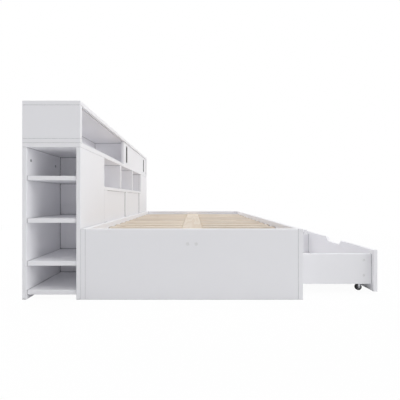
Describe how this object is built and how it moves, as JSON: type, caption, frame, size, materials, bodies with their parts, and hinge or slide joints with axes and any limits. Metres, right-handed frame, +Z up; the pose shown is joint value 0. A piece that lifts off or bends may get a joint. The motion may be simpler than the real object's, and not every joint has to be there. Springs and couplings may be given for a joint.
{
  "type": "daybed with storage",
  "caption": "White single daybed with a slatted base, roll-out drawers on casters, and a low bookcase along one side with end shelves, open cubbies and a sliding door.",
  "frame": {"origin": "on the floor, under the middle of the object's box with both drawers open as pictured", "axes": "+Z up, +Y along the bed from the pictured end to the far end, +X from the bookcase to the drawers"},
  "size_m": [1.731, 1.98, 0.9335],
  "materials": {
    "white_board": "satin white melamine facing on board",
    "pine": "bare sanded pine",
    "black_plastic": "moulded black plastic",
    "wheel_black": "black rubber tyre on a grey plastic hub",
    "zinc": "zinc-plated pressed steel"
  },
  "bodies": {
    "daybed_frame": {"lower_top_board": "white_board", "near_rear_panel": "white_board", "near_front_panel": "white_board", "near_partition": "white_board", "near_bottom_shelf": "white_board", "near_lower_shelf": "white_board", "near_middle_shelf": "white_board", "near_upper_shelf": "white_board", "far_rear_panel": "white_board", "far_front_panel": "white_board", "far_partition": "white_board", "far_bottom_shelf": "white_board", "far_lower_shelf": "white_board", "far_middle_shelf": "white_board", "far_upper_shelf": "white_board", "middle_back_panel": "white_board", "cubby_floor": "white_board", "cubby_divider_1": "white_board", "cubby_divider_2": "white_board", "face_frame": "white_board", "recessed_panel": "white_board", "upper_bottom_board": "white_board", "near_upper_end_panel": "white_board", "far_upper_end_panel": "white_board", "upper_back_panel": "white_board", "upper_divider": "white_board", "upper_top_board": "white_board", "near_end_panel": "white_board", "far_end_panel": "white_board", "rear_rail": "white_board", "bed_front_panel": "white_board", "centre_beam": "pine", "centre_leg": "pine", "rear_slat_roll": "pine", "front_slat_roll": "pine"},
    "door": {"sliding_door": "white_board", "near_door_pull": "black_plastic", "far_door_pull": "black_plastic"},
    "near_drawer": {"near_drawer_front": "white_board", "near_drawer_left_side": "white_board", "near_drawer_right_side": "white_board", "near_drawer_back": "white_board", "near_drawer_bottom": "white_board", "near_drawer_left_caster_rail": "zinc", "near_drawer_right_caster_rail": "zinc"},
    "near_left_front_wheel": {"near_drawer_left_front_wheel": "wheel_black"},
    "near_left_back_wheel": {"near_drawer_left_back_wheel": "wheel_black"},
    "near_right_front_wheel": {"near_drawer_right_front_wheel": "wheel_black"},
    "near_right_back_wheel": {"near_drawer_right_back_wheel": "wheel_black"},
    "far_drawer": {"far_drawer_front": "white_board", "far_drawer_left_side": "white_board", "far_drawer_right_side": "white_board", "far_drawer_back": "white_board", "far_drawer_bottom": "white_board", "far_drawer_left_caster_rail": "zinc", "far_drawer_right_caster_rail": "zinc"},
    "far_left_front_wheel": {"far_drawer_left_front_wheel": "wheel_black"},
    "far_left_back_wheel": {"far_drawer_left_back_wheel": "wheel_black"},
    "far_right_front_wheel": {"far_drawer_right_front_wheel": "wheel_black"},
    "far_right_back_wheel": {"far_drawer_right_back_wheel": "wheel_black"}
  },
  "joints": [
    {"name": "door_slide", "type": "slide", "parent": "daybed_frame", "child": "door", "axis": [0, 1, 0], "range_m": [-0.882, 0.008]},
    {"name": "near_drawer_slide", "type": "slide", "parent": "daybed_frame", "child": "near_drawer", "axis": [1, 0, 0], "range_m": [-0.4, 0.15]},
    {"name": "far_drawer_slide", "type": "slide", "parent": "daybed_frame", "child": "far_drawer", "axis": [1, 0, 0], "range_m": [-0.413, 0.137]},
    {"name": "near_left_front_wheel_spin", "type": "hinge", "parent": "near_drawer", "child": "near_left_front_wheel", "pos_m": [0.7925, -0.84, 0.0165], "axis": [0, 1, 0], "range_deg": [-1390, 522]},
    {"name": "near_left_back_wheel_spin", "type": "hinge", "parent": "near_drawer", "child": "near_left_back_wheel", "pos_m": [0.2525, -0.84, 0.0165], "axis": [0, 1, 0], "range_deg": [-1390, 522]},
    {"name": "near_right_front_wheel_spin", "type": "hinge", "parent": "near_drawer", "child": "near_right_front_wheel", "pos_m": [0.7925, -0.11, 0.0165], "axis": [0, 1, 0], "range_deg": [-1390, 522]},
    {"name": "near_right_back_wheel_spin", "type": "hinge", "parent": "near_drawer", "child": "near_right_back_wheel", "pos_m": [0.2525, -0.11, 0.0165], "axis": [0, 1, 0], "range_deg": [-1390, 522]},
    {"name": "far_left_front_wheel_spin", "type": "hinge", "parent": "far_drawer", "child": "far_left_front_wheel", "pos_m": [0.8055, 0.11, 0.0165], "axis": [0, 1, 0], "range_deg": [-1435, 477]},
    {"name": "far_left_back_wheel_spin", "type": "hinge", "parent": "far_drawer", "child": "far_left_back_wheel", "pos_m": [0.2655, 0.11, 0.0165], "axis": [0, 1, 0], "range_deg": [-1435, 477]},
    {"name": "far_right_front_wheel_spin", "type": "hinge", "parent": "far_drawer", "child": "far_right_front_wheel", "pos_m": [0.8055, 0.84, 0.0165], "axis": [0, 1, 0], "range_deg": [-1435, 477]},
    {"name": "far_right_back_wheel_spin", "type": "hinge", "parent": "far_drawer", "child": "far_right_back_wheel", "pos_m": [0.2655, 0.84, 0.0165], "axis": [0, 1, 0], "range_deg": [-1435, 477]}
  ],
  "couplings": [
    {"joint": "near_left_front_wheel_spin", "follows": "near_drawer_slide", "rad_per_m": 60.606},
    {"joint": "near_left_back_wheel_spin", "follows": "near_drawer_slide", "rad_per_m": 60.606},
    {"joint": "near_right_front_wheel_spin", "follows": "near_drawer_slide", "rad_per_m": 60.606},
    {"joint": "near_right_back_wheel_spin", "follows": "near_drawer_slide", "rad_per_m": 60.606},
    {"joint": "far_left_front_wheel_spin", "follows": "far_drawer_slide", "rad_per_m": 60.606},
    {"joint": "far_left_back_wheel_spin", "follows": "far_drawer_slide", "rad_per_m": 60.606},
    {"joint": "far_right_front_wheel_spin", "follows": "far_drawer_slide", "rad_per_m": 60.606},
    {"joint": "far_right_back_wheel_spin", "follows": "far_drawer_slide", "rad_per_m": 60.606}
  ]
}
